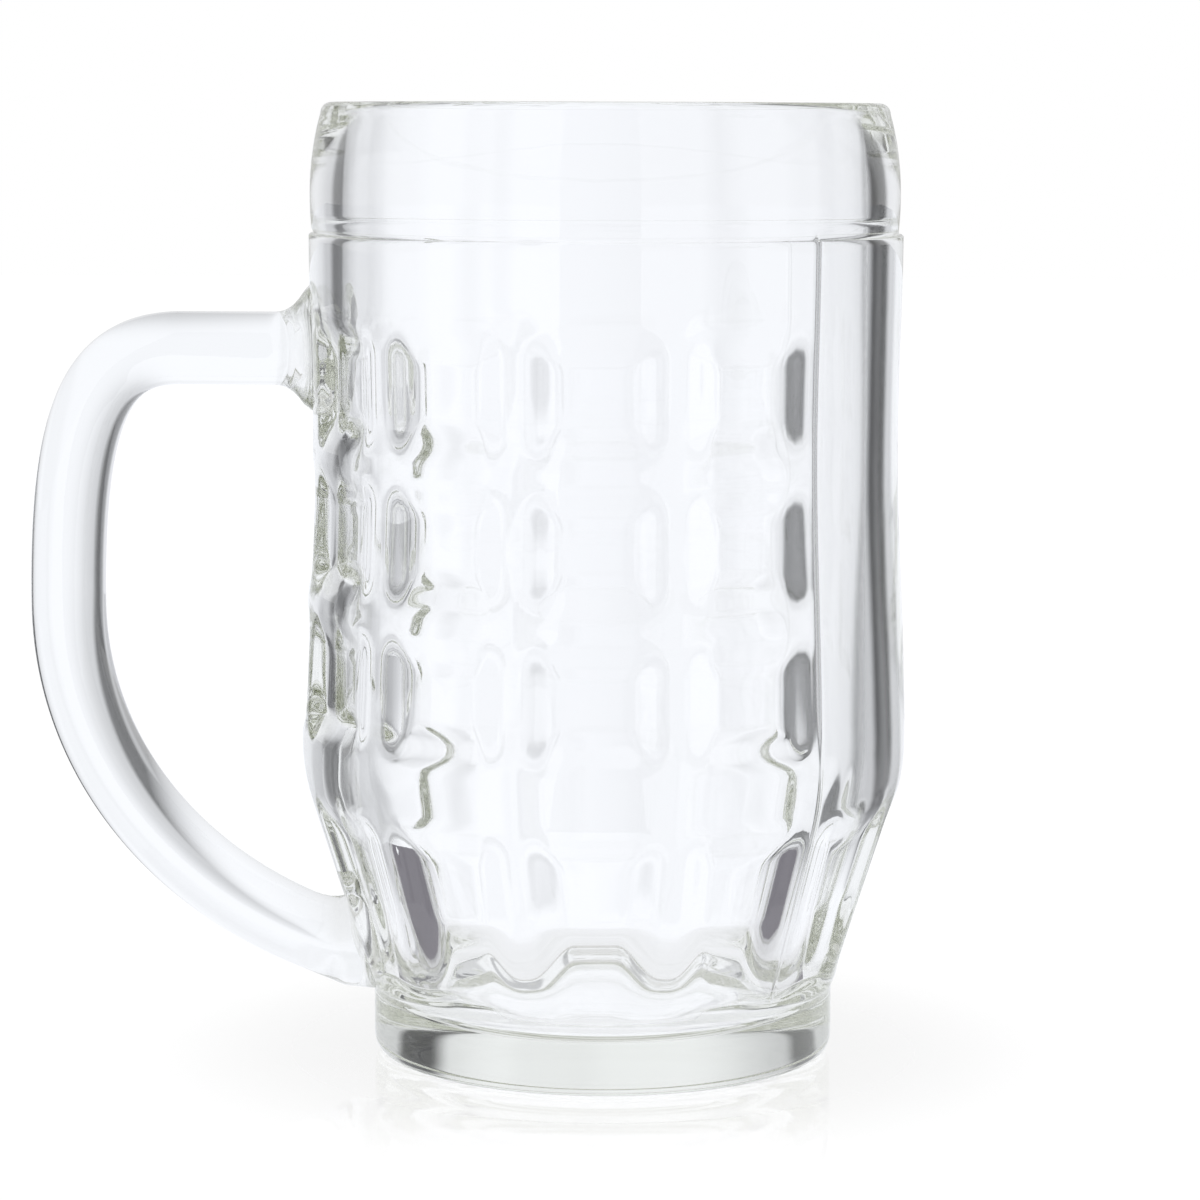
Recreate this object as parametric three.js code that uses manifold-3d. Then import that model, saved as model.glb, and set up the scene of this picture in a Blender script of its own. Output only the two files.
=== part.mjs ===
// A half-litre beer mug of pressed clear glass: a dimpled body, and a handle fused to it at two roots.
// Millimetres, +Z up. The origin is the middle of the underside, and the handle points to -X.

import * as THREE from "three";
import { mergeVertices } from "three/addons/utils/BufferGeometryUtils.js";
import Module from "manifold-3d";

// Outside of the body, from the rim down
const MUG_HEIGHT = 148;
const RIM_HEIGHT = 20; // smooth drinking band above the shelf
const RIM_TOP_RADIUS = 43.8;
const RIM_BULGE_RADIUS = 45.4; // the band swells to this, a little above the shelf
const RIM_BULGE_HEIGHT = 5; // above the shelf
const SHELF_WIDTH = 0.8; // the wall steps out by this much under the band
const BODY_RADIUS = 46; // at the shelf
const WAIST_RADIUS = 45.5;
const WAIST_HEIGHT = 98;
const SHOULDER_RADIUS = 47.1;
const SHOULDER_HEIGHT = 44.5; // where side and taper would meet in a sharp corner
const SHOULDER_BLEND = 5; // height of the rounding, above and below that corner
const TAPER_RADIUS = 36.8; // at the ledge where the flutes end
const LEDGE_HEIGHT = 2; // slope from the flutes out to the foot
const FOOT_RADIUS = 36;
const FOOT_HEIGHT = 10.5;
const FOOT_EDGE = 3; // rounding of the foot's lower edge

// Inside of the body, as walls measured inwards from the outside
const LIP_THICKNESS = 3.4; // its top is a half round
const RING_DROP = 17.5; // below the rim, where the drinking band's inner slope ends
const RING_WALL = 4.8;
const BODY_WALL = 4.8; // at the waist
const SHOULDER_WALL = 6;
const TAPER_WALL = 6.5; // at the floor
const FLOOR_THICKNESS = 6;
const FLOOR_RADIUS = 19; // flat middle of the floor
const FLOOR_RISE = 2; // from its edge up to the level of the wall's foot
const FLOOR_FILLET = 8; // rounding between floor and wall

// Pressed pattern: rows of dimples over a ring of flutes, with a smooth panel facing +X
const COLUMNS = 12; // columns of dimples and flutes in a full turn
const PANEL_COLUMNS = 3; // columns left smooth for the panel
const ROWS = 3;
const PLAIN_BAND = 11.3; // smooth wall between the shelf and the top row
const RIDGE_WIDTH = 1.6; // flat between neighbouring hollows
const HOLLOW_WALL = 6.8; // width of the sloping side of a dimple or flute
const HOLLOW_CORNER = 5; // radius of its corners
const DIMPLE_DEPTH = 1.8;
const FLUTE_DEPTH = 1.8;
const FLUTE_DROP = 2; // from the shoulder's corner down to the flutes' round tops
const FLUTE_RUN = 14; // the flutes run out over this height above the ledge

// Handle: its middle line lies in the XZ plane
const ARM_DROP = 18; // from the shelf down to the middle of the upper arm
const ARM_REACH = 66; // from the mug's axis to the end of the straight upper arm
const ARM_EASE = 13; // how far the bend keeps the arm's direction
const GRIP_REACH = 84; // from the mug's axis to the middle of the grip
const GRIP_HEIGHT = 70; // where the grip reaches furthest out
const GRIP_EASE_UP = 30; // how far the grip stays upright, above and below that height
const GRIP_EASE_DOWN = 27;
const ROOT_HEIGHT = 15.2; // middle of the lower root
const ROOT_SLOPE = THREE.MathUtils.degToRad(14); // the handle runs down into the body at this angle
const ROOT_EASE = 27; // how far it keeps that slope
const GRIP_THICKNESS = 11.3; // in the plane of the handle
const GRIP_WIDTH = 14.5; // across that plane
const GRIP_SQUARENESS = 2.5; // exponent of the section: 2 is an ellipse, higher is squarer
const UPPER_FLARE = { outer: 5, inner: 4.5, side: 2, reach: 6 }; // how the roots spread on the body
const LOWER_FLARE = { outer: 0.5, inner: 8, side: 2.5, reach: 11 };
const FLARE_CURVE = 2.5; // exponent: the higher, the later a root spreads
const ROOT_SINK = 4; // the handle is drawn this far into the body before it is cut to its seat
const SEAT_GAP = 0.3; // clearance between handle and body

// Facets
const COLUMN_FACES = 8;
const ROW_FACES = 6;
const TAPER_FACES = 5;
const CURVE_FACES = 4; // along each rounding of the body's profile
const LIP_FACES = 6;
const SECTION_FACES = 18;
const HANDLE_STATIONS = 44;
const WELD = 1e-3; // vertices closer than this are one

const GLASS = { color: 0xeef2ee, roughness: 0.04, metalness: 0, transparent: true, opacity: 0.35 };

const wasm = await Module();
wasm.setup();

const shelfZ = MUG_HEIGHT - RIM_HEIGHT;
const ledgeZ = FOOT_HEIGHT + LEDGE_HEIGHT;
const patternTop = shelfZ - PLAIN_BAND;
const patternBottom = SHOULDER_HEIGHT + SHOULDER_BLEND;
const rowPitch = (patternTop - patternBottom) / ROWS;
const columnPitch = (2 * Math.PI) / COLUMNS;
const segments = COLUMNS * COLUMN_FACES;

const point = (radius, z) => new THREE.Vector2(radius, z);
const between = (a, b, t) => new THREE.Vector2().lerpVectors(a, b, t);

// The smooth side: nearly upright above the waist, flaring gently to the shoulder below it.
function sidePoint(z) {
  const { lerp, smoothstep } = THREE.MathUtils;
  const radius =
    z < WAIST_HEIGHT
      ? lerp(SHOULDER_RADIUS, WAIST_RADIUS, smoothstep(z, patternBottom, WAIST_HEIGHT))
      : lerp(WAIST_RADIUS, BODY_RADIUS, smoothstep(z, WAIST_HEIGHT, shelfZ));
  return point(radius, z);
}

// The drinking band from the shelf to the foot of the lip.
function rimCurve() {
  return new THREE.QuadraticBezierCurve(
    point(BODY_RADIUS - SHELF_WIDTH, shelfZ),
    point(RIM_BULGE_RADIUS + SHELF_WIDTH, shelfZ + 2 * RIM_BULGE_HEIGHT),
    point(RIM_TOP_RADIUS, MUG_HEIGHT - LIP_THICKNESS / 2),
  );
}

// Outside of the body before the pattern is pressed in, from the middle of the underside up to the lip.
function outerProfile() {
  const taperFoot = point(TAPER_RADIUS, ledgeZ);
  const corner = point(SHOULDER_RADIUS, SHOULDER_HEIGHT);
  const blendShare = SHOULDER_BLEND / (SHOULDER_HEIGHT - ledgeZ);
  const blendStart = between(corner, taperFoot, blendShare);
  const blend = new THREE.QuadraticBezierCurve(blendStart, corner, sidePoint(patternBottom));
  const footEdge = new THREE.EllipseCurve(
    FOOT_RADIUS - FOOT_EDGE,
    FOOT_EDGE,
    FOOT_EDGE,
    FOOT_EDGE,
    -Math.PI / 2,
    0,
  );
  const profile = [point(0, 0), ...footEdge.getPoints(CURVE_FACES), point(FOOT_RADIUS, FOOT_HEIGHT)];
  for (let i = 0; i < TAPER_FACES; i++) profile.push(between(taperFoot, blendStart, i / TAPER_FACES));
  profile.push(...blend.getPoints(CURVE_FACES));
  for (let i = 1; i <= ROWS * ROW_FACES; i++)
    profile.push(sidePoint(patternBottom + (i * rowPitch) / ROW_FACES));
  profile.push(sidePoint(shelfZ), ...rimCurve().getPoints(CURVE_FACES));
  return profile;
}

// Inside of the body, from the lip's half round down to the middle of the floor.
function innerProfile() {
  const lipRadius = LIP_THICKNESS / 2;
  const lipZ = MUG_HEIGHT - lipRadius;
  const lip = new THREE.EllipseCurve(RIM_TOP_RADIUS - lipRadius, lipZ, lipRadius, lipRadius, 0, Math.PI);
  const ring = point(RIM_BULGE_RADIUS - RING_WALL, MUG_HEIGHT - RING_DROP);
  const waist = point(WAIST_RADIUS - BODY_WALL, WAIST_HEIGHT);
  const shoulder = point(SHOULDER_RADIUS - SHOULDER_WALL, SHOULDER_HEIGHT);
  const floorCorner = point(TAPER_RADIUS - TAPER_WALL, FLOOR_THICKNESS + FLOOR_RISE);
  const wallFoot = between(floorCorner, shoulder, FLOOR_FILLET / shoulder.distanceTo(floorCorner));
  const floorEdge = point(FLOOR_RADIUS, FLOOR_THICKNESS);
  const blendShare = SHOULDER_BLEND / shoulder.distanceTo(waist);
  const blendTop = between(shoulder, waist, blendShare);
  const blendFoot = between(shoulder, wallFoot, SHOULDER_BLEND / shoulder.distanceTo(wallFoot));
  const blend = new THREE.QuadraticBezierCurve(blendTop, shoulder, blendFoot);
  const fillet = new THREE.QuadraticBezierCurve(wallFoot, floorCorner, floorEdge);
  const wall = [ring, between(ring, waist, 0.5), waist, between(waist, blendTop, 0.5)];
  const roundings = [blend, fillet].flatMap((curve) => curve.getPoints(CURVE_FACES));
  return [...lip.getPoints(LIP_FACES).slice(1), ...wall, ...roundings, point(0, FLOOR_THICKNESS)];
}

// Share of a hollow's depth at a place inside a rectangle with round corners.
function hollowShare(across, along, halfWidth, halfLength) {
  const beyondSide = Math.abs(across) - halfWidth + HOLLOW_CORNER;
  const beyondEnd = Math.abs(along) - halfLength + HOLLOW_CORNER;
  const round = Math.hypot(Math.max(0, beyondSide), Math.max(0, beyondEnd));
  const outside = round + Math.min(0, Math.max(beyondSide, beyondEnd));
  return THREE.MathUtils.smoothstep(HOLLOW_CORNER - outside, 0, HOLLOW_WALL);
}

// Depth of the pressed pattern at a place on the smooth outside. Columns are counted from the panel's middle.
// The hollows under both handle roots are left out.
function pressedDepth(radius, angle, z) {
  const column = Math.round(angle / columnPitch);
  const across = (angle - column * columnPitch) * radius;
  const halfWidth = (columnPitch * radius - RIDGE_WIDTH) / 2;
  const onPanel = Math.abs(column) < PANEL_COLUMNS / 2;
  const underHandle = Math.abs(column) * 2 === COLUMNS;
  if (z > patternBottom && z < patternTop && !onPanel) {
    const row = Math.floor((z - patternBottom) / rowPitch);
    const along = z - patternBottom - (row + 0.5) * rowPitch;
    if (underHandle && row === ROWS - 1) return 0;
    const halfLength = (rowPitch - RIDGE_WIDTH) / 2;
    return DIMPLE_DEPTH * hollowShare(across, along, halfWidth, halfLength);
  }
  if (z > ledgeZ && z < patternBottom && !underHandle) {
    const left = Math.min(1, (z - ledgeZ) / FLUTE_RUN);
    return FLUTE_DEPTH * left * hollowShare(across, z, halfWidth, SHOULDER_HEIGHT - FLUTE_DROP);
  }
  return 0;
}

// A profile turned about the Z axis.
function turned(profile) {
  return new THREE.LatheGeometry(profile, segments).rotateX(Math.PI / 2);
}

// The body: a turned solid with the pattern pressed into its outside.
function bodyGeometry() {
  const outside = outerProfile();
  const profile = [...outside, ...innerProfile()];
  const geometry = turned(profile);
  const position = geometry.attributes.position;
  for (let i = 0; i < position.count; i++) {
    if (i % profile.length >= outside.length) continue;
    const [x, y, z] = [position.getX(i), position.getY(i), position.getZ(i)];
    const radius = Math.hypot(x, y);
    if (radius === 0) continue;
    const kept = 1 - pressedDepth(radius, Math.atan2(y, x), z) / radius;
    position.setXY(i, x * kept, y * kept);
  }
  return welded(geometry);
}

// A geometry with only positions, and one vertex at each place.
function welded(geometry) {
  geometry.deleteAttribute("normal");
  geometry.deleteAttribute("uv");
  return mergeVertices(geometry, WELD);
}

function solidOf(geometry) {
  return new wasm.Manifold(
    new wasm.Mesh({
      numProp: 3,
      vertProperties: new Float32Array(geometry.attributes.position.array),
      triVerts: new Uint32Array(geometry.index.array),
    }),
  );
}

function geometryOf(solid) {
  const mesh = solid.getMesh();
  return new THREE.BufferGeometry()
    .setAttribute("position", new THREE.BufferAttribute(mesh.vertProperties, 3))
    .setIndex(new THREE.BufferAttribute(mesh.triVerts, 1));
}

// Everything inside the body's smooth outside and a clearance beyond it, without the rim.
function seatSolid() {
  const side = outerProfile().filter((p) => p.x > 0 && p.y <= shelfZ);
  const grown = side.map((p) => point(p.x + SEAT_GAP, p.y));
  const low = point(grown[0].x, -ROOT_SINK);
  const high = point(BODY_RADIUS + SEAT_GAP, MUG_HEIGHT);
  const onAxis = (p) => point(0, p.y);
  return solidOf(welded(turned([onAxis(low), low, ...grown, high, onAxis(high)])));
}

// Radius of the smooth outside at a height.
function outsideRadius(z) {
  const profile = outerProfile().filter((p) => p.x > 0);
  const next = profile.findIndex((p) => p.y >= z);
  const [below, above] = [profile[next - 1], profile[next]];
  return THREE.MathUtils.mapLinear(z, below.y, above.y, below.x, above.x);
}

// The handle's middle line, from inside the upper seat round to inside the lower one.
function handlePath() {
  const at = (x, z) => new THREE.Vector3(x, 0, z);
  const armZ = shelfZ - ARM_DROP;
  const armEnd = at(-ARM_REACH, armZ);
  const grip = at(-GRIP_REACH, GRIP_HEIGHT);
  const root = at(-outsideRadius(ROOT_HEIGHT), ROOT_HEIGHT);
  const inward = at(Math.cos(ROOT_SLOPE), -Math.sin(ROOT_SLOPE));
  const path = new THREE.CurvePath();
  path.add(new THREE.LineCurve3(at(-outsideRadius(armZ) + ROOT_SINK, armZ), armEnd));
  path.add(
    new THREE.CubicBezierCurve3(
      armEnd,
      armEnd.clone().add(at(-ARM_EASE, 0)),
      grip.clone().add(at(0, GRIP_EASE_UP)),
      grip,
    ),
  );
  path.add(
    new THREE.CubicBezierCurve3(
      grip,
      grip.clone().add(at(0, -GRIP_EASE_DOWN)),
      root.clone().addScaledVector(inward, -ROOT_EASE),
      root,
    ),
  );
  path.add(new THREE.LineCurve3(root, root.clone().addScaledVector(inward, ROOT_SINK)));
  return path;
}

// How much a root adds to the section at a distance from the body: nothing past its reach, then ever more.
function flared(size, reach, fromSeat) {
  return size * Math.min(1, Math.max(0, 1 - fromSeat / reach)) ** FLARE_CURVE;
}

// The handle as a loft of rounded sections along its middle line, closed by a fan at each end.
function handleLoft() {
  const path = handlePath();
  const length = path.getLength();
  const positions = [];
  const index = [];
  for (let i = 0; i <= HANDLE_STATIONS; i++) {
    const t = (1 - Math.cos((Math.PI * i) / HANDLE_STATIONS)) / 2; // closer together at the roots
    const middle = path.getPoint(t);
    const along = path.getTangent(t);
    const outward = new THREE.Vector3(along.z, 0, -along.x);
    const spread = (edge) =>
      flared(UPPER_FLARE[edge], UPPER_FLARE.reach, t * length - ROOT_SINK) +
      flared(LOWER_FLARE[edge], LOWER_FLARE.reach, (1 - t) * length - ROOT_SINK);
    for (let k = 0; k < SECTION_FACES; k++) {
      const turn = (2 * Math.PI * k) / SECTION_FACES;
      const rounded = (c) => Math.sign(c) * Math.abs(c) ** (2 / GRIP_SQUARENESS);
      const edge = Math.cos(turn) > 0 ? "outer" : "inner";
      const out = rounded(Math.cos(turn)) * (GRIP_THICKNESS / 2 + spread(edge));
      const side = rounded(Math.sin(turn)) * (GRIP_WIDTH / 2 + spread("side"));
      positions.push(middle.x + outward.x * out, side, middle.z + outward.z * out);
    }
  }
  const vertex = (station, k) => station * SECTION_FACES + (k % SECTION_FACES);
  for (let i = 0; i < HANDLE_STATIONS; i++)
    for (let k = 0; k < SECTION_FACES; k++) {
      const [a, b] = [vertex(i, k), vertex(i, k + 1)];
      const [c, d] = [vertex(i + 1, k), vertex(i + 1, k + 1)];
      index.push(a, b, c, b, d, c);
    }
  for (let k = 1; k < SECTION_FACES - 1; k++) {
    index.push(vertex(0, 0), vertex(0, k + 1), vertex(0, k));
    index.push(vertex(HANDLE_STATIONS, 0), vertex(HANDLE_STATIONS, k), vertex(HANDLE_STATIONS, k + 1));
  }
  return new THREE.BufferGeometry()
    .setAttribute("position", new THREE.Float32BufferAttribute(positions, 3))
    .setIndex(index);
}

function named(name, geometry) {
  geometry.computeVertexNormals();
  const mesh = new THREE.Mesh(geometry, new THREE.MeshStandardMaterial(GLASS));
  mesh.name = name;
  return mesh;
}

const mug = new THREE.Group();
mug.add(named("glass_body", bodyGeometry()));
mug.add(named("handle", geometryOf(solidOf(handleLoft()).subtract(seatSolid()))));

export default mug;
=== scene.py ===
"""Looks of a half-litre beer mug of pressed clear glass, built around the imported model.

Shapes are drawn in millimetres and scaled to metres at the end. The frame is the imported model's:
+Z up, the handle towards -X, the smooth panel towards +X, the origin in the middle of the underside.
"""

import math

import bmesh
import bpy
from mathutils import Matrix, Vector
from mathutils.geometry import interpolate_bezier

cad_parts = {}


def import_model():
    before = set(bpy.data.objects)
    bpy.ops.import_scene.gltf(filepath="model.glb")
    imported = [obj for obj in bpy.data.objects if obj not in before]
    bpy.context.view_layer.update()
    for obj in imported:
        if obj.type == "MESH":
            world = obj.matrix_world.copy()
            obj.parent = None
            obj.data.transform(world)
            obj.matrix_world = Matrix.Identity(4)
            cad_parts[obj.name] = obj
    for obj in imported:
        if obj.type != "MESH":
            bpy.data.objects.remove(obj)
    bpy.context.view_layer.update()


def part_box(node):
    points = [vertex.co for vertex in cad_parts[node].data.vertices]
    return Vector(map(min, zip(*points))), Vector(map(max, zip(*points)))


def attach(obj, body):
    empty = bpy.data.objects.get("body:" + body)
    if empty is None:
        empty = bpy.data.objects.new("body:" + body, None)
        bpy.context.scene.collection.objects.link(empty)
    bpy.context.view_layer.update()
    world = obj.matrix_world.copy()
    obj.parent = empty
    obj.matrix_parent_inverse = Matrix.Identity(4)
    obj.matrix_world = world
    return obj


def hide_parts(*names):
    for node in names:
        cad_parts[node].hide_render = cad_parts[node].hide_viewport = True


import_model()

MM = 0.001

# Outside of the body
_, body_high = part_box("glass_body")
MUG_HEIGHT = body_high.z / MM
SHOULDER_RADIUS = body_high.x / MM
RIM_HEIGHT = 20  # smooth drinking band above the shelf
RIM_TOP_RADIUS = 43.8
RIM_BULGE_RADIUS = 45.4  # the band swells to this, a little above the shelf
RIM_BULGE_HEIGHT = 5  # above the shelf
SHELF_WIDTH = 0.8  # the wall steps out by this much under the band
SHELF_ROUND = 0.25
BODY_RADIUS = 46  # at the shelf
WAIST_RADIUS = 45.5
WAIST_HEIGHT = 98
SHOULDER_HEIGHT = 44.5  # where side and taper would meet in a sharp corner
SHOULDER_BLEND = 5  # height of the rounding, above and below that corner
TAPER_RADIUS = 36.8  # at the ledge where the flutes end
LEDGE_HEIGHT = 2  # slope from the flutes out to the foot
FOOT_RADIUS = 36
FOOT_HEIGHT = 10.5
FOOT_EDGE = 3  # rounding of the foot's lower edge

# Inside of the body
LIP_THICKNESS = 3.4  # its top is a half round
RING_DROP = 17.5  # below the rim, where the drinking band's inner slope ends
RING_MARK = 0.1  # half the width of the fine ring that stands out there
RING_WALL = 4.8
BODY_WALL = 4.8  # at the waist
SHOULDER_WALL = 6
TAPER_WALL = 6.5  # at the floor
FLOOR_THICKNESS = 6
FLOOR_RADIUS = 19  # flat middle
FLOOR_RISE = 2  # from its edge up to where the rounding's corner would be
FLOOR_FILLET = 8

# Pressed pattern
COLUMNS = 12  # of dimples and flutes in a full turn
PANEL_COLUMNS = 3  # left smooth for the panel
PANEL_STEP = 0.3  # the panel stands proud of the wall beside it
PANEL_EDGE = 0.5  # width of that step
SEAM_HEIGHT = 0.06  # fine raised line where the mould closed, along both edges of the panel
SEAM_WIDTH = 0.25
ROWS = 3
PLAIN_BAND = 11.3  # smooth wall between the shelf and the top row
RIDGE_WIDTH = 1.6  # flat between neighbouring hollows
HOLLOW_WALL = 6.8  # width of the rounded wall of a dimple or flute
HOLLOW_CORNER = 5
DIMPLE_DEPTH = 1.8
FLUTE_DEPTH = 1.8
FLUTE_DROP = 2  # from the shoulder's corner down to the flutes' round tops
FLUTE_RUN = 14  # above the ledge, where the flutes begin to grow shallow

# Handle
ARM_DROP = 18  # from the shelf down to the middle of the upper arm
ARM_REACH = 66  # from the mug's axis to the end of the straight upper arm
ARM_EASE = 13  # how far the bend keeps the arm's direction
GRIP_REACH = 84  # from the mug's axis to the middle of the grip
GRIP_HEIGHT = 70  # where the grip reaches furthest out
GRIP_EASE_UP = 30  # how far the grip stays upright, above and below that height
GRIP_EASE_DOWN = 27
ROOT_HEIGHT = 15.2  # middle of the lower root
ROOT_SLOPE = math.radians(14)  # the handle runs down into the body at this angle
ROOT_EASE = 27  # how far it keeps that slope
GRIP_THICKNESS = 11.3  # in the plane of the handle
GRIP_WIDTH = 14.5  # across that plane
GRIP_SQUARENESS = 2.5  # exponent of the section: 2 is an ellipse, higher is squarer
UPPER_FLARE = {"outer": 5, "inner": 4.5, "side": 2, "reach": 6}  # how the roots spread on the body
LOWER_FLARE = {"outer": 0.5, "inner": 8, "side": 2.5, "reach": 11}
FLARE_CURVE = 2.5  # exponent: the higher, the later a root spreads
ROOT_SINK = 0.8  # the fused roots reach this far into the wall, so that no film of air is left

# Glass
RIPPLE_SIZE = 9  # faint waves of the fire-polished surface
RIPPLE_HEIGHT = 0.1
RIPPLE_STRENGTH = 0.05
TINT = "#dddfd2"
TINT_DENSITY = 8.5  # green cast per metre of glass

# Camera, fitted to the photograph, with its picture in pixels
CAMERA_DISTANCE = 605  # from the mug's axis
EYE_HEIGHT = 145.5
CAMERA_TURN = math.radians(1.7)  # round the mug
CAMERA_PITCH = math.radians(7.03)
CAMERA_ROLL = math.radians(0.18)
SENSOR_WIDTH = 36
PICTURE_WIDTH = 1200
PICTURE_FOCAL = 3900
PICTURE_SHIFT = 4  # from the middle of the picture to the mug's axis

# Studio, in metres, with directions in degrees from straight behind the mug, clockwise from above
FLOOR_REACH = 3
FLOOR_SEEN = 1.1  # brightness of its own light, as the camera sees it
FLOOR_GLOW = 0.88  # share that this light has in the picture; the rest takes the shadow
FLOOR_GLOSS = 0.3  # mirrors this much at the foot
GLOSS_ROUGHNESS = 0.04
GLOSS_REACH = 2.4  # the mirrored foot has faded at this many times the foot's radius
AIR_FILM = 0.1 * MM  # between foot and floor, so that the underside mirrors inside the glass
ROOM = 0.68  # brightness all round
# The screen, the floor as the glass sees it, and the cards have no lamp on them: their light and shade
# are painted as their own glow
SCREEN = 1.08  # brightness of the screen's painted light, where it is full
SCREEN_COLOUR = "#f6f8fd"
SCREEN_DISTANCE = 0.7
SCREEN_HEIGHT = 0.9
SCREEN_FULL = math.radians(13)  # its painted light is full behind the mug, this far to both sides
SCREEN_END = math.radians(42)  # faded into the room
SIDE_END = math.radians(72)  # its painted light begins to come back, towards the camera
SIDE_FULL = math.radians(88)
CLOSE_FLOOR = 0.09  # the floor's painted light is full this near to the mug
# Soft sectors of painted shade in the glowing screen and floor, which the ovals, the flutes and the foot
# bend into dark accents: the middle, half the width, and the share of light that is left
PAINTED_SHADE_SECTORS = ((39, 9, 0.06), (-51, 8, 0.25), (6, 7, 0.95), (128, 5, 0.5), (-128, 5, 0.5))
FLOOR_SECTORS = ((-77, 14, 0.5),)  # painted shade on the floor alone
SECTOR_SOFTNESS = 0.4  # share of half the width over which a sector fades, inwards and outwards
# Painted shade: grey glowing cards on the floor beside the foot, seen only through the glass, whose tone
# fills the flutes
RIGHT_FLOOR_SHADE = {"start": 88, "end": 112}
LEFT_FLOOR_SHADE = {"start": -113, "end": -92}
FLOOR_SHADE_SIZE = {"near": 0.042, "far": 0.1, "height": 0.002}
# Painted shade: a dark glowing card, seen only mirrored in the glass, for the dark side of the room
# behind the camera
CAMERA_SIDE_SHADE = {"start": 165, "end": 195, "near": 0.09, "far": 1.2, "height": 1.5}
SOFTBOX_ASIDE = math.radians(125)
SOFTBOX_DISTANCE = 1.2
SOFTBOX_HEIGHT = 0.07  # of its middle
SOFTBOX_SIZE = (1.0, 2.0)
SOFTBOX_POWER = 8
LIGHT_BOUNCES = 96  # light runs far round inside the wall before it leaves the glass

# Fineness of the meshes
TURN_STEPS = 360
FINE_STEP = 0.8  # spacing of the rings where the pattern is pressed in
ROUND_STEPS = 8
LIP_STEPS = 32  # fine, because light runs round inside the rim many times
BAND_STEPS = 24
WALL_STEPS = 16
SECTION_STEPS = 48
HANDLE_STEPS = 60
SEAT_RINGS = 6
FLAG_STEPS = 12
WELD = 1e-4  # vertices closer than this are one
GATHER_REACH = math.radians(6)  # columns of the mesh this near to a seam are drawn towards it
GATHER_SHARE = 0.25  # at the seam, down to this share of their spacing

shelf_z = MUG_HEIGHT - RIM_HEIGHT
ledge_z = FOOT_HEIGHT + LEDGE_HEIGHT
pattern_top = shelf_z - PLAIN_BAND
pattern_bottom = SHOULDER_HEIGHT + SHOULDER_BLEND
row_pitch = (pattern_top - pattern_bottom) / ROWS
column_pitch = 2 * math.pi / COLUMNS


def smoothstep(low, high, value):
    """0 below low, 1 above high, and an even S between them."""
    t = min(1, max(0, (value - low) / (high - low)))
    return t * t * (3 - 2 * t)


def mixed(a, b, share):
    """A value between a, at a share of 0, and b, at a share of 1."""
    return a + (b - a) * share


def at(radius, z):
    """A point of the profile, in the plane through the axis."""
    return Vector((radius, 0, z))


def curve(start, corner, end, steps):
    """A rounding from start to end that leaves towards the corner and arrives from it."""
    pull = 2 / 3
    return interpolate_bezier(start, start.lerp(corner, pull), end.lerp(corner, pull), end, steps + 1)


def line(start, end, step):
    """Points from start towards end about a step apart, without the end."""
    count = max(1, round((end - start).length / step))
    return [start.lerp(end, i / count) for i in range(count)]


def side_point(z):
    """The smooth side: nearly upright above the waist, flaring gently to the shoulder below it."""
    if z < WAIST_HEIGHT:
        share = smoothstep(pattern_bottom, WAIST_HEIGHT, z)
        return at(mixed(SHOULDER_RADIUS, WAIST_RADIUS, share), z)
    return at(mixed(WAIST_RADIUS, BODY_RADIUS, smoothstep(WAIST_HEIGHT, shelf_z, z)), z)


def outer_profile():
    """Outside of the body without its pattern, from the middle of the underside up to the lip."""
    taper_foot = at(TAPER_RADIUS, ledge_z)
    corner = at(SHOULDER_RADIUS, SHOULDER_HEIGHT)
    blend_start = corner.lerp(taper_foot, SHOULDER_BLEND / (SHOULDER_HEIGHT - ledge_z))
    foot_corner = at(FOOT_RADIUS, 0)
    foot_flat = at(FOOT_RADIUS - FOOT_EDGE, 0)
    foot_side = at(FOOT_RADIUS, FOOT_EDGE)
    foot_top = at(FOOT_RADIUS, FOOT_HEIGHT)
    profile = [at(0, 0), foot_flat - at(FINE_STEP, 0)]
    profile += curve(foot_flat, foot_corner, foot_side, ROUND_STEPS)
    profile += line(foot_side, foot_top, FINE_STEP)[1:]
    profile += line(foot_top, taper_foot, FINE_STEP)
    profile += line(taper_foot, blend_start, FINE_STEP)
    profile += curve(blend_start, corner, side_point(pattern_bottom), ROUND_STEPS)
    rings = round((shelf_z - SHELF_ROUND - pattern_bottom) / FINE_STEP)
    for i in range(1, rings + 1):
        profile.append(side_point(mixed(pattern_bottom, shelf_z - SHELF_ROUND, i / rings)))
    band_foot = at(BODY_RADIUS - SHELF_WIDTH, shelf_z)
    profile.append(at(BODY_RADIUS - SHELF_ROUND, shelf_z))
    band_bulge = at(RIM_BULGE_RADIUS + SHELF_WIDTH, shelf_z + 2 * RIM_BULGE_HEIGHT)
    band_top = at(RIM_TOP_RADIUS, MUG_HEIGHT - LIP_THICKNESS / 2)
    profile += curve(band_foot, band_bulge, band_top, BAND_STEPS)
    return profile


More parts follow.
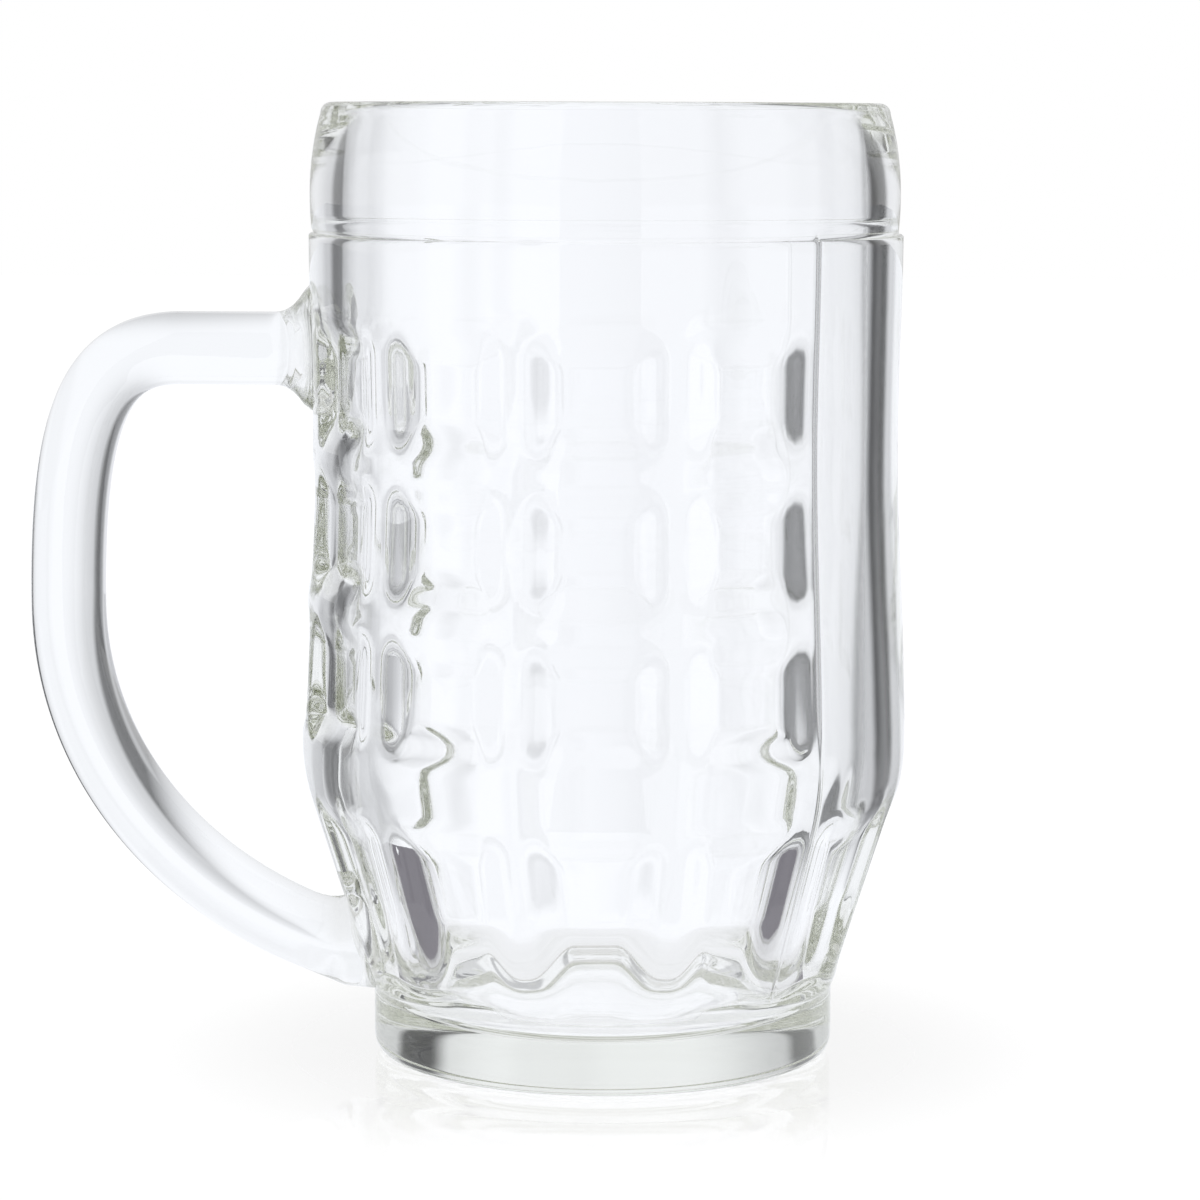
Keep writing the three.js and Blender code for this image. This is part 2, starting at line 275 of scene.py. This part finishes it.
def inner_profile():
    """Inside of the body, from the lip's half round down to the middle of the floor."""
    lip_radius = LIP_THICKNESS / 2
    lip_z = MUG_HEIGHT - lip_radius
    lip_middle = RIM_TOP_RADIUS - lip_radius
    profile = []
    for i in range(1, LIP_STEPS + 1):
        turn = math.pi * i / LIP_STEPS
        profile.append(at(lip_middle + lip_radius * math.cos(turn), lip_z + lip_radius * math.sin(turn)))
    ring = at(RIM_BULGE_RADIUS - RING_WALL, MUG_HEIGHT - RING_DROP)
    waist = at(WAIST_RADIUS - BODY_WALL, WAIST_HEIGHT)
    shoulder = at(SHOULDER_RADIUS - SHOULDER_WALL, SHOULDER_HEIGHT)
    floor_corner = at(TAPER_RADIUS - TAPER_WALL, FLOOR_THICKNESS + FLOOR_RISE)
    wall_foot = floor_corner.lerp(shoulder, FLOOR_FILLET / (shoulder - floor_corner).length)
    floor_edge = at(FLOOR_RADIUS, FLOOR_THICKNESS)
    blend_top = shoulder.lerp(waist, SHOULDER_BLEND / (waist - shoulder).length)
    blend_foot = shoulder.lerp(wall_foot, SHOULDER_BLEND / (wall_foot - shoulder).length)
    profile += [ring + at(0, FINE_STEP), ring + at(0, RING_MARK)]
    profile += [ring - at(RING_MARK / 2, 0), ring - at(0, RING_MARK)]
    profile += curve(ring - at(0, FINE_STEP), waist, blend_top, WALL_STEPS)
    profile += curve(blend_top, shoulder, blend_foot, ROUND_STEPS)[1:]
    profile += line(blend_foot, wall_foot, 2 * FINE_STEP)[1:]
    profile += curve(wall_foot, floor_corner, floor_edge, ROUND_STEPS)
    profile += [floor_edge - at(FINE_STEP, 0), at(0, FLOOR_THICKNESS)]
    return profile


def hollow(across, along, half_width, half_length):
    """Share of a hollow's depth at a place inside a rectangle with round corners."""
    beyond_side = abs(across) - half_width + HOLLOW_CORNER
    beyond_end = abs(along) - half_length + HOLLOW_CORNER
    round_corner = math.hypot(max(0, beyond_side), max(0, beyond_end))
    outside = round_corner + min(0, max(beyond_side, beyond_end))
    return smoothstep(0, HOLLOW_WALL, HOLLOW_CORNER - outside)


def pressed_depth(radius, angle, z):
    """Depth of the pattern at a place on the smooth outside, with angles from the panel's middle."""
    column = round(angle / column_pitch)
    across = (angle - column * column_pitch) * radius
    half_width = (column_pitch * radius - RIDGE_WIDTH) / 2
    on_panel = abs(column) < PANEL_COLUMNS / 2
    under_handle = abs(column) * 2 == COLUMNS
    from_panel = (abs(angle) - PANEL_COLUMNS / 2 * column_pitch) * radius
    depth = 0
    if pattern_bottom < z <= shelf_z:
        grown = smoothstep(0, row_pitch / 2, z - pattern_bottom)
        depth += PANEL_STEP * smoothstep(0, PANEL_EDGE, from_panel) * grown
    if pattern_bottom < z < pattern_top and not on_panel:
        row = math.floor((z - pattern_bottom) / row_pitch)
        along = z - pattern_bottom - (row + 0.5) * row_pitch
        if not (under_handle and row == ROWS - 1):
            depth += DIMPLE_DEPTH * hollow(across, along, half_width, (row_pitch - RIDGE_WIDTH) / 2)
    if ledge_z < z < pattern_bottom and not under_handle:
        flute_length = SHOULDER_HEIGHT - FLUTE_DROP
        left = min(1, (z - ledge_z) / FLUTE_RUN)
        depth += FLUTE_DEPTH * left * hollow(across, z, half_width, flute_length)
    from_seam = abs(from_panel)
    if ledge_z < z < shelf_z and from_seam < SEAM_WIDTH:
        depth -= SEAM_HEIGHT * (1 - from_seam / SEAM_WIDTH)
    return depth


def gathered(angle):
    """An angle moved towards the nearer seam, so that the mesh has fine columns there."""
    seam = math.copysign(PANEL_COLUMNS / 2 * column_pitch, angle)
    aside = angle - seam
    if abs(aside) > GATHER_REACH:
        return angle
    return seam + aside * mixed(GATHER_SHARE, 1, smoothstep(0, GATHER_REACH, abs(aside)))


def placed(bm, name, material):
    """A shape as an object of the scene, at the origin."""
    mesh = bpy.data.meshes.new(name)
    bm.to_mesh(mesh)
    bm.free()
    mesh.materials.append(material)
    made = bpy.data.objects.new(name, mesh)
    bpy.context.scene.collection.objects.link(made)
    return made


def finished(bm, name, material):
    """A millimetre shape as a smooth object of the scene, in metres."""
    bmesh.ops.scale(bm, vec=(MM, MM, MM), verts=bm.verts)
    for face in bm.faces:
        face.smooth = True
    return placed(bm, name, material)


def body_piece(material):
    """The body: its profile spun about the axis, then the pattern pressed into its outside."""
    bm = bmesh.new()
    outside = bm.verts.layers.float.new("outside")
    outer = outer_profile()
    chain = [bm.verts.new(place) for place in outer + inner_profile()]
    for vert in chain[: len(outer)]:
        vert[outside] = 1
    edges = [bm.edges.new(pair) for pair in zip(chain, chain[1:])]
    bmesh.ops.spin(
        bm, geom=chain + edges, cent=(0, 0, 0), axis=(0, 0, 1),
        angle=2 * math.pi, steps=TURN_STEPS, use_merge=True,
    )
    bmesh.ops.remove_doubles(bm, verts=bm.verts, dist=WELD)
    bmesh.ops.recalc_face_normals(bm, faces=bm.faces)
    for vert in bm.verts:
        radius = vert.co.xy.length
        if vert[outside] and radius > FOOT_RADIUS / 2:
            angle = gathered(math.atan2(vert.co.y, vert.co.x))
            depth = pressed_depth(radius, angle, vert.co.z)
            vert.co.xy = (radius - depth) * Vector((math.cos(angle), math.sin(angle)))
    bm.verts.layers.float.remove(outside)
    return finished(bm, "pressed_body", material)


def outside_radius(z):
    """Radius of the smooth outside at a height between the ledge and the shelf."""
    if z > pattern_bottom:
        return side_point(min(z, shelf_z)).x
    share = (z - ledge_z) / (SHOULDER_HEIGHT - ledge_z)
    return mixed(TAPER_RADIUS, SHOULDER_RADIUS, share)


def handle_path():
    """Points along the handle's middle line, from the upper seat round to the lower one."""
    arm_z = shelf_z - ARM_DROP
    seat = at(-outside_radius(arm_z), arm_z)
    arm_end = at(-ARM_REACH, arm_z)
    grip = at(-GRIP_REACH, GRIP_HEIGHT)
    root = at(-outside_radius(ROOT_HEIGHT), ROOT_HEIGHT)
    inward = at(math.cos(ROOT_SLOPE), -math.sin(ROOT_SLOPE))
    points = line(seat, arm_end, FINE_STEP)
    points += interpolate_bezier(
        arm_end, arm_end - at(ARM_EASE, 0), grip + at(0, GRIP_EASE_UP), grip, HANDLE_STEPS + 1
    )[:-1]
    points += interpolate_bezier(
        grip, grip - at(0, GRIP_EASE_DOWN), root - inward * ROOT_EASE, root, HANDLE_STEPS + 1
    )
    return points


def flared(flare, edge, from_seat):
    """How much a root adds to the section at a distance from the body."""
    return flare[edge] * min(1, max(0, 1 - from_seat / flare["reach"])) ** FLARE_CURVE


def extruded(bm, loop):
    """A new ring of vertices and edges drawn out of a loop."""
    made = bmesh.ops.extrude_edge_only(bm, edges=loop)["geom"]
    ring = [part for part in made if isinstance(part, bmesh.types.BMVert)]
    edges = [part for part in made if isinstance(part, bmesh.types.BMEdge)]
    return ring, [edge for edge in edges if all(vert in ring for vert in edge.verts)]


def on_seat(place):
    """A place moved along X to where the handle ends, just inside the body's wall."""
    seat = outside_radius(place.z) - ROOT_SINK
    return Vector((-math.sqrt(seat**2 - place.y**2), place.y, place.z))


def close_root(bm, loop, middle):
    """Closes an end of the handle with rings that follow the wall, so that no facets show."""
    for edge in loop:
        edge.smooth = False
    for i in range(1, SEAT_RINGS):
        ring, loop = extruded(bm, loop)
        for vert in ring:
            vert.co = on_seat(vert.co.lerp(middle, 1 / (SEAT_RINGS + 1 - i)))
    bmesh.ops.contextual_create(bm, geom=loop)


def handle_piece(material):
    """The handle: a rounded section drawn along its middle line, spread where it is fused on."""
    points = handle_path()
    length = [0]
    for before, after in zip(points, points[1:]):
        length.append(length[-1] + (after - before).length)
    bm = bmesh.new()
    turn = bm.verts.layers.float.new("turn")
    ring = bmesh.ops.create_circle(bm, radius=1, segments=SECTION_STEPS)["verts"]
    for vert in ring:
        vert[turn] = math.atan2(vert.co.y, vert.co.x)
    loop = list(bm.edges)
    first_loop = loop
    for i, middle in enumerate(points):
        if i > 0:
            ring, loop = extruded(bm, loop)
        along = points[min(i + 1, len(points) - 1)] - points[max(i - 1, 0)]
        along.normalize()
        outward = Vector((along.z, 0, -along.x))
        for vert in ring:
            c, s = math.cos(vert[turn]), math.sin(vert[turn])
            edge = "outer" if c > 0 else "inner"
            left = length[-1] - length[i]
            spread = {
                name: flared(UPPER_FLARE, name, length[i]) + flared(LOWER_FLARE, name, left)
                for name in (edge, "side")
            }
            power = 2 / GRIP_SQUARENESS
            out = math.copysign(abs(c) ** power, c) * (GRIP_THICKNESS / 2 + spread[edge])
            side = math.copysign(abs(s) ** power, s) * (GRIP_WIDTH / 2 + spread["side"])
            vert.co = middle + outward * out + Vector((0, side, 0))
            if i in (0, len(points) - 1):
                vert.co = on_seat(vert.co)
    close_root(bm, first_loop, points[0])
    close_root(bm, loop, points[-1])
    bmesh.ops.recalc_face_normals(bm, faces=bm.faces)
    bm.verts.layers.float.remove(turn)
    return finished(bm, "fused_handle", material)


def linear(hex_colour):
    """An sRGB hex colour as linear RGBA."""
    def channel(value):
        return value / 12.92 if value <= 0.04045 else ((value + 0.055) / 1.055) ** 2.4
    parts = [int(hex_colour[i : i + 2], 16) / 255 for i in (1, 3, 5)]
    return (*map(channel, parts), 1)


def node(tree, kind, settings=None, inputs=None, links=None):
    """Adds a node with its settings, input values and links from other nodes' outputs."""
    made = tree.nodes.new(kind)
    for name, value in (settings or {}).items():
        setattr(made, name, value)
    for name, value in (inputs or {}).items():
        made.inputs[name].default_value = value
    for name, output in (links or {}).items():
        tree.links.new(output, made.inputs[name])
    return made


def new_material(name):
    """A material without nodes, and its node tree."""
    material = bpy.data.materials.new(name)
    material.use_nodes = True
    material.node_tree.nodes.clear()
    return material, material.node_tree


def soda_lime_glass():
    """Soda-lime glass, pressed and fire-polished.

    It is clear, with sharp reflections, a faint ripple, and a green cast where it is thick.
    """
    material, tree = new_material("soda_lime_glass")
    place = node(tree, "ShaderNodeTexCoord").outputs["Object"]
    ripple = node(
        tree, "ShaderNodeTexNoise",
        inputs={"Scale": 1 / (RIPPLE_SIZE * MM), "Detail": 2.0, "Roughness": 0.45},
        links={"Vector": place},
    )
    bump = node(
        tree, "ShaderNodeBump",
        inputs={"Strength": RIPPLE_STRENGTH, "Distance": RIPPLE_HEIGHT * MM},
        links={"Height": ripple.outputs["Fac"]},
    )
    glass = node(
        tree, "ShaderNodeBsdfPrincipled",
        inputs={
            "Base Color": linear("#ffffff"),
            "Roughness": 0.0,
            "IOR": 1.52,
            "Transmission Weight": 1.0,
        },
        links={"Normal": bump.outputs["Normal"]},
    )
    tint = node(
        tree, "ShaderNodeVolumeAbsorption",
        inputs={"Color": linear(TINT), "Density": TINT_DENSITY},
    )
    node(
        tree, "ShaderNodeOutputMaterial",
        links={"Surface": glass.outputs["BSDF"], "Volume": tint.outputs["Volume"]},
    )
    return material


def camera():
    """The photograph's viewpoint: level with the rim, looking a little down at the mug's middle."""
    data = bpy.data.cameras.new("camera")
    data.sensor_width = SENSOR_WIDTH
    data.lens = SENSOR_WIDTH * PICTURE_FOCAL / PICTURE_WIDTH
    made = bpy.data.objects.new("camera", data)
    around = Matrix.Rotation(CAMERA_TURN, 4, "Z")
    yaw = Matrix.Rotation(math.atan(PICTURE_SHIFT / PICTURE_FOCAL), 4, "Z")
    tilt = Matrix.Rotation(math.pi / 2 - CAMERA_PITCH, 4, "X")
    roll = Matrix.Rotation(CAMERA_ROLL, 4, "Z")
    made.matrix_world = (
        around @ Matrix.Translation((0, -CAMERA_DISTANCE * MM, EYE_HEIGHT * MM)) @ yaw @ tilt @ roll
    )
    bpy.context.scene.collection.objects.link(made)
    bpy.context.scene.camera = made


def world():
    """A pale room: white behind the mug, a little less where the glass mirrors or bends the view."""
    made = bpy.data.worlds.new("studio")
    made.use_nodes = True
    tree = made.node_tree
    tree.nodes.clear()
    path = node(tree, "ShaderNodeLightPath").outputs
    white = node(tree, "ShaderNodeBackground", inputs={"Color": (1, 1, 1, 1), "Strength": 1.0})
    room = node(tree, "ShaderNodeBackground", inputs={"Color": (1, 1, 1, 1), "Strength": ROOM})
    mix = node(
        tree, "ShaderNodeMixShader",
        links={0: path["Is Camera Ray"], 1: room.outputs[0], 2: white.outputs[0]},
    )
    node(tree, "ShaderNodeOutputWorld", links={"Surface": mix.outputs[0]})
    bpy.context.scene.world = made


def hidden_stage(bm, name, material):
    """A studio piece that only the view through the glass shows."""
    made = placed(bm, name, material)
    made.visible_camera = False
    made.visible_shadow = False
    made.visible_diffuse = False
    made.visible_glossy = False
    return made


def flag(name, material, start, end, near, far, height):
    """A bent sheet round part of the mug, which lies on the floor and then stands up."""
    bm = bmesh.new()
    turn = Matrix.Rotation(-math.radians(start), 3, "Z")
    section = ((0, near, MM), (0, far, MM), (0, far, height))
    chain = [bm.verts.new(turn @ Vector(place)) for place in section]
    edges = [bm.edges.new(pair) for pair in zip(chain, chain[1:])]
    bmesh.ops.spin(
        bm, geom=chain + edges, cent=(0, 0, 0), axis=(0, 0, 1),
        angle=-math.radians(end - start), steps=FLAG_STEPS,
    )
    return hidden_stage(bm, name, material)


def emitting(name, hex_colour):
    """Card that glows with one flat painted tone, as a matt card looks in even light, with no reflection
    of its own.
    """
    material, tree = new_material(name)
    light = node(tree, "ShaderNodeEmission", inputs={"Color": linear(hex_colour), "Strength": 1.0})
    node(tree, "ShaderNodeOutputMaterial", links={"Surface": light.outputs[0]})
    return material


def screen_light(tree, strength, shade_sectors):
    """Painted light round the mug, as a glow: full close to it, behind it and in front, less at both
    sides.
    """
    place = node(tree, "ShaderNodeTexCoord").outputs["Object"]
    parts = node(tree, "ShaderNodeSeparateXYZ", links={0: place})
    aside = node(
        tree, "ShaderNodeMath", {"operation": "ARCTAN2"},
        links={0: parts.outputs["X"], 1: parts.outputs["Y"]},
    )
    away = node(tree, "ShaderNodeMath", {"operation": "ABSOLUTE"}, links={0: aside.outputs[0]})
    sector = node(
        tree, "ShaderNodeMapRange", {"interpolation_type": "SMOOTHSTEP"},
        {"From Min": SCREEN_FULL, "From Max": SCREEN_END, "To Min": strength, "To Max": ROOM},
        {"Value": away.outputs[0]},
    )
    from_mug = node(tree, "ShaderNodeVectorMath", {"operation": "LENGTH"}, links={0: place})
    close = node(
        tree, "ShaderNodeMapRange", {"interpolation_type": "SMOOTHSTEP"},
        {"From Min": CLOSE_FLOOR, "From Max": 2 * CLOSE_FLOOR, "To Min": strength, "To Max": 0.0},
        {"Value": from_mug.outputs["Value"]},
    )
    front = node(
        tree, "ShaderNodeMapRange", {"interpolation_type": "SMOOTHSTEP"},
        {"From Min": SIDE_END, "From Max": SIDE_FULL, "To Min": 0.0, "To Max": strength},
        {"Value": away.outputs[0]},
    )
    light = node(
        tree, "ShaderNodeMath", {"operation": "MAXIMUM"},
        links={0: sector.outputs[0], 1: front.outputs[0]},
    )
    # each sector is painted shade, dimming the glow to its share of light left
    for middle, half_width, level in shade_sectors:
        off = node(
            tree, "ShaderNodeMath", {"operation": "SUBTRACT"},
            {1: math.radians(middle)}, {0: aside.outputs[0]},
        )
        distance = node(tree, "ShaderNodeMath", {"operation": "ABSOLUTE"}, links={0: off.outputs[0]})
        edge = math.radians(half_width)
        inside, outside = edge * (1 - SECTOR_SOFTNESS), edge * (1 + SECTOR_SOFTNESS)
        left = node(
            tree, "ShaderNodeMapRange", {"interpolation_type": "SMOOTHSTEP"},
            {"From Min": inside, "From Max": outside, "To Min": level, "To Max": 1.0},
            {"Value": distance.outputs[0]},
        )
        light = node(
            tree, "ShaderNodeMath", {"operation": "MULTIPLY"},
            links={0: light.outputs[0], 1: left.outputs[0]},
        )
    light = node(
        tree, "ShaderNodeMath", {"operation": "MAXIMUM"},
        links={0: light.outputs[0], 1: close.outputs[0]},
    )
    return light.outputs[0]


def screen():
    """White paper whose light is painted as its own glow, as if lit from in front: a matt white all
    round, with painted shade at both sides of the mug.
    """
    material, tree = new_material("painted_light_screen")
    light = node(
        tree, "ShaderNodeEmission", inputs={"Color": linear(SCREEN_COLOUR)},
        links={"Strength": screen_light(tree, SCREEN, PAINTED_SHADE_SECTORS)},
    )
    node(tree, "ShaderNodeOutputMaterial", links={"Surface": light.outputs[0]})
    flag("screen", material, 0, 360, SCREEN_DISTANCE, SCREEN_DISTANCE, SCREEN_HEIGHT)


def floor():
    """Polished white acrylic, which glows as if lit from below; through the glass it shows the screen's
    painted light and shade.

    It stays white, takes the mug's soft shadow, and mirrors the foot faintly close by.
    """
    material, tree = new_material("white_acrylic_floor")
    path = node(tree, "ShaderNodeLightPath").outputs
    matt = node(tree, "ShaderNodeBsdfDiffuse", inputs={"Color": linear("#f6f6f6")})
    # painted light and shade: what the glass sees of the floor glows like the screen, with its dark
    # sectors
    through_glass = screen_light(tree, SCREEN, PAINTED_SHADE_SECTORS + FLOOR_SECTORS)
    seen = node(
        tree, "ShaderNodeMix",
        inputs={"B": FLOOR_SEEN},
        links={"Factor": path["Is Camera Ray"], "A": through_glass},
    )
    colour = node(
        tree, "ShaderNodeMix", {"data_type": "RGBA"},
        {"A": linear(SCREEN_COLOUR), "B": (1, 1, 1, 1)}, {"Factor": path["Is Camera Ray"]},
    )
    white = node(
        tree, "ShaderNodeEmission",
        links={"Color": colour.outputs["Result"], "Strength": seen.outputs["Result"]},
    )
    gloss = node(
        tree, "ShaderNodeBsdfGlossy",
        inputs={"Color": (1, 1, 1, 1), "Roughness": GLOSS_ROUGHNESS},
    )
    glow = node(
        tree, "ShaderNodeMix",
        inputs={"A": 1.0, "B": FLOOR_GLOW},
        links={"Factor": path["Is Camera Ray"]},
    )
    ground = node(
        tree, "ShaderNodeMixShader",
        links={0: glow.outputs["Result"], 1: matt.outputs[0], 2: white.outputs[0]},
    )
    place = node(tree, "ShaderNodeTexCoord").outputs["Object"]
    away = node(tree, "ShaderNodeVectorMath", {"operation": "LENGTH"}, links={0: place})
    foot = FOOT_RADIUS * MM
    near = node(
        tree, "ShaderNodeMapRange", {"interpolation_type": "SMOOTHSTEP"},
        {"From Min": foot, "From Max": GLOSS_REACH * foot, "To Min": FLOOR_GLOSS, "To Max": 0.0},
        {"Value": away.outputs["Value"]},
    )
    polished = node(
        tree, "ShaderNodeMixShader",
        links={0: near.outputs[0], 1: ground.outputs[0], 2: gloss.outputs[0]},
    )
    node(tree, "ShaderNodeOutputMaterial", links={"Surface": polished.outputs[0]})
    bm = bmesh.new()
    bmesh.ops.create_grid(bm, x_segments=1, y_segments=1, size=FLOOR_REACH)
    bmesh.ops.translate(bm, vec=(0, 0, -AIR_FILM), verts=bm.verts)
    made = placed(bm, "floor", material)


def softbox(name, azimuth):
    """A large soft lamp that stands at one side and faces the mug."""
    data = bpy.data.lights.new(name, "AREA")
    data.shape = "RECTANGLE"
    data.size, data.size_y = SOFTBOX_SIZE
    data.energy = SOFTBOX_POWER
    made = bpy.data.objects.new(name, data)
    turn = Matrix.Rotation(-azimuth, 4, "Z")
    stand = Matrix.Translation((0, SOFTBOX_DISTANCE, SOFTBOX_HEIGHT))
    made.matrix_world = turn @ stand @ Matrix.Rotation(math.pi / 2, 4, "X")
    bpy.context.scene.collection.objects.link(made)
    made.visible_camera = False


def studio():
    """The photograph's white studio, with the cards of painted shade that draw dark lines into the
    glass.
    """
    world()
    floor()
    screen()
    # painted shade: a dark glow for the unlit room behind the camera, seen only in the glass's
    # reflections
    black = emitting("painted_room_shade", "#34323a")
    # painted shade: a grey glow beside the foot, seen only through the glass
    grey = emitting("painted_floor_shade", "#75727a")
    flag("right_floor_shade", grey, **RIGHT_FLOOR_SHADE, **FLOOR_SHADE_SIZE)
    flag("left_floor_shade", grey, **LEFT_FLOOR_SHADE, **FLOOR_SHADE_SIZE)
    camera_side_shade = flag("camera_side_shade", black, **CAMERA_SIDE_SHADE)
    camera_side_shade.visible_glossy = True  # mirrored by the outside, and not seen through the glass
    camera_side_shade.visible_transmission = False
    softbox("left_softbox", -SOFTBOX_ASIDE)
    softbox("right_softbox", SOFTBOX_ASIDE)
    bpy.context.scene.view_settings.view_transform = "Standard"
    cycles = bpy.context.scene.cycles
    cycles.max_bounces = LIGHT_BOUNCES
    cycles.transmission_bounces = LIGHT_BOUNCES
    cycles.glossy_bounces = LIGHT_BOUNCES


glass = soda_lime_glass()
body = body_piece(glass)
handle = handle_piece(glass)
for piece, stands_for in ((body, "glass_body"), (handle, "handle")):
    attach(piece, "root")
    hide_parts(stands_for)
camera()
studio()
